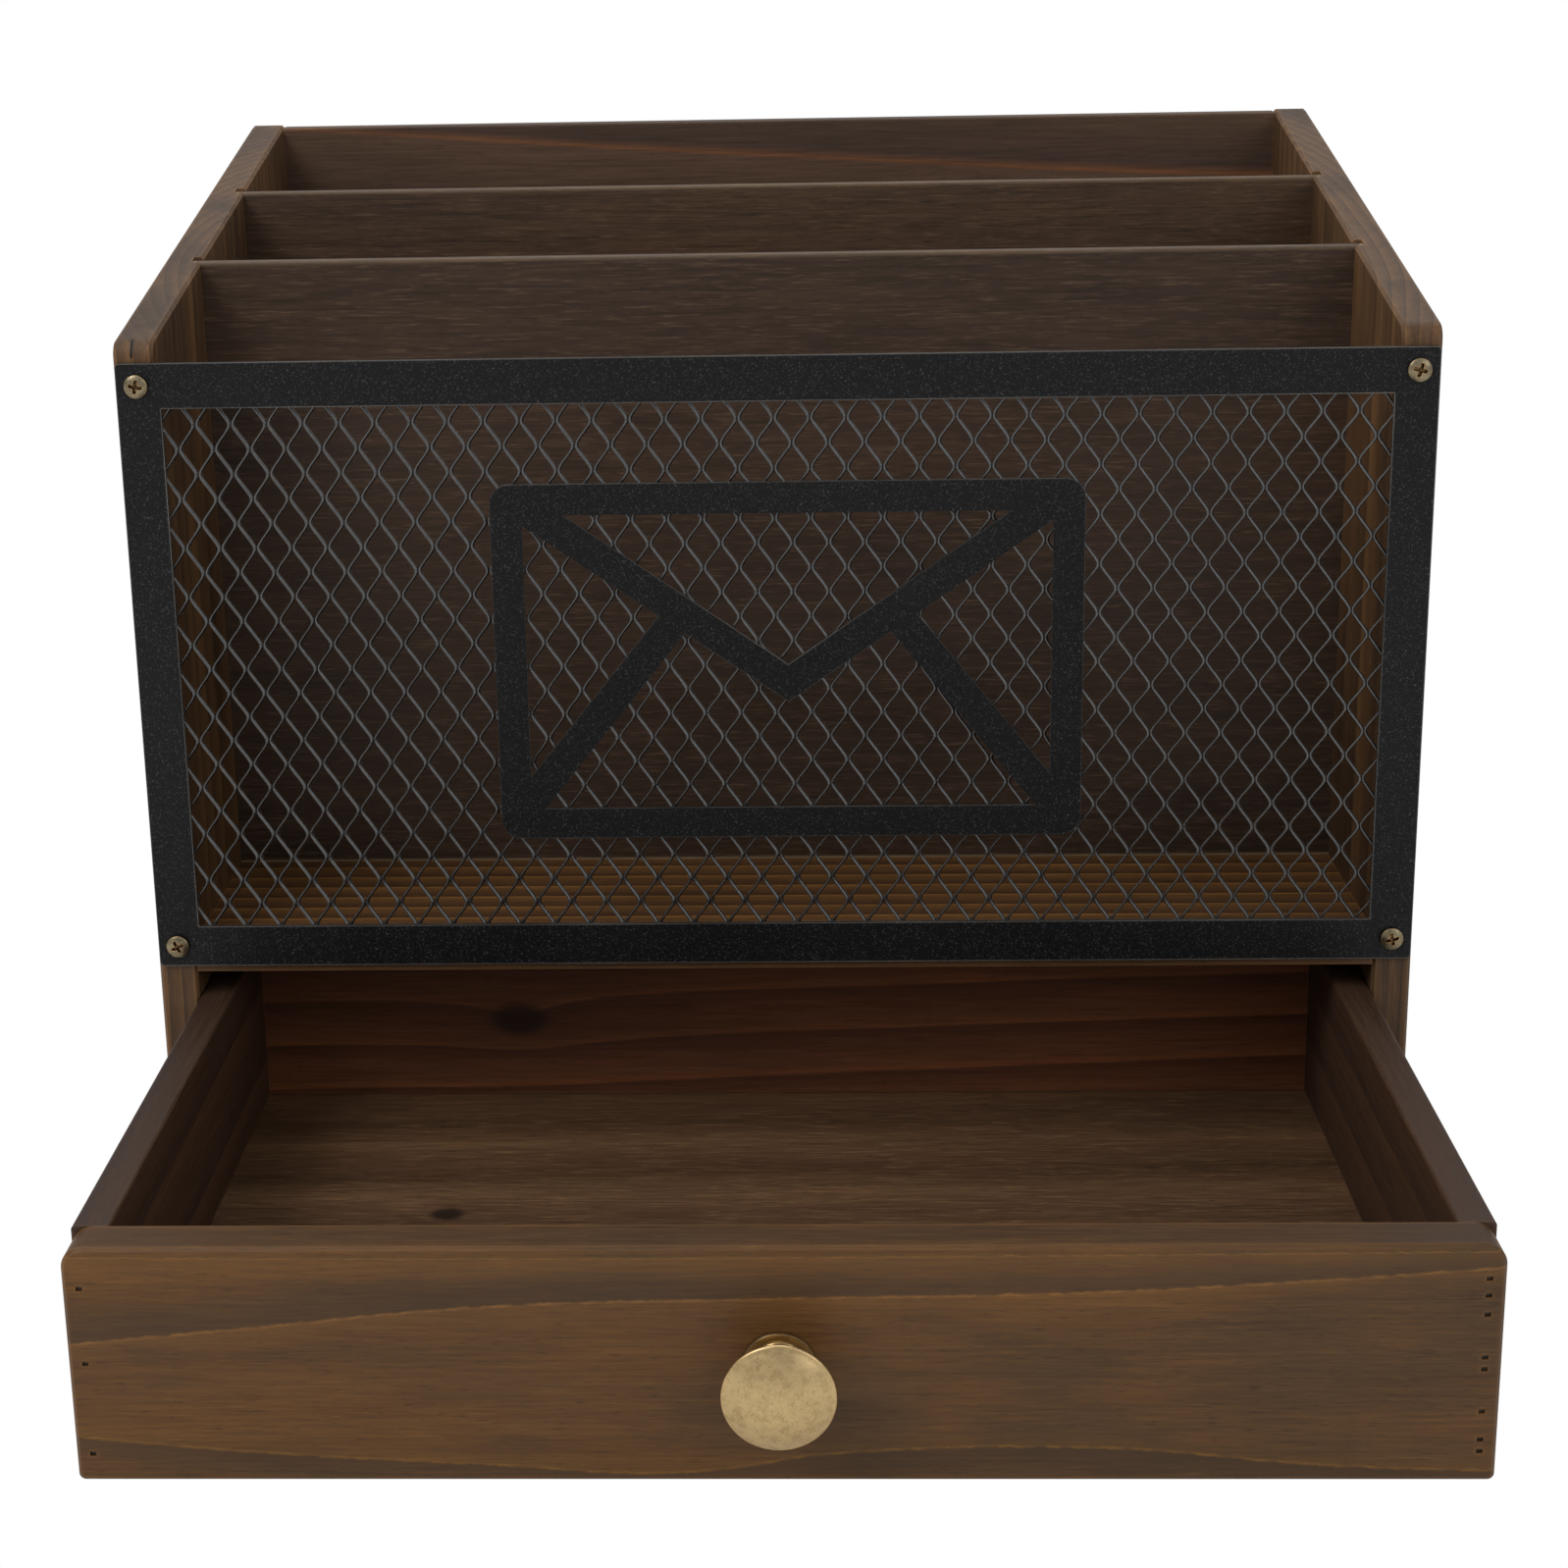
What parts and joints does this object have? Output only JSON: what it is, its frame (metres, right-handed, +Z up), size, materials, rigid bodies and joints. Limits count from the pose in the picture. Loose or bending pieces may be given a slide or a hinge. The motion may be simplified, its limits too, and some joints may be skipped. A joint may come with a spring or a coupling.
{
  "type": "envelope sorter with drawer",
  "caption": "Desktop wooden envelope sorter: upright letter slots behind a framed metal mesh screen, above a shallow sliding drawer with a round knob.",
  "frame": {"origin": "middle of the case's footprint, on the table that it stands on", "axes": "+Z up, +Y from the front to the back, +X to the right as seen from the front; the drawer is pulled out along -Y"},
  "size_m": [0.33, 0.344, 0.2809],
  "materials": {
    "stained_pine": "torched and stained pine, satin",
    "stained_plywood": "stained plywood, satin",
    "black_steel": "matte black powder coat",
    "antique_brass": "antiqued, satin",
    "steel_pin": "bright wire"
  },
  "bodies": {
    "case": {"left_side_panel": "stained_pine", "right_side_panel": "stained_pine", "back_panel": "stained_pine", "front_divider": "stained_plywood", "rear_divider": "stained_plywood", "sorter_floor": "stained_pine", "case_bottom": "stained_pine", "front_frame": "black_steel", "mesh_screen": "black_steel", "frame_screws": "antique_brass", "left_side_brads": "steel_pin", "right_side_brads": "steel_pin", "back_brads": "steel_pin"},
    "drawer": {"drawer_front": "stained_pine", "drawer_left_side": "stained_pine", "drawer_right_side": "stained_pine", "drawer_back": "stained_pine", "drawer_floor": "stained_plywood", "drawer_knob": "antique_brass", "knob_screw": "steel_pin", "drawer_front_brads": "steel_pin", "drawer_back_brads": "steel_pin"}
  },
  "joints": [
    {"name": "drawer_slide", "type": "slide", "parent": "case", "child": "drawer", "axis": [0, -1, 0], "range_m": [-0.137, 0.02]}
  ]
}
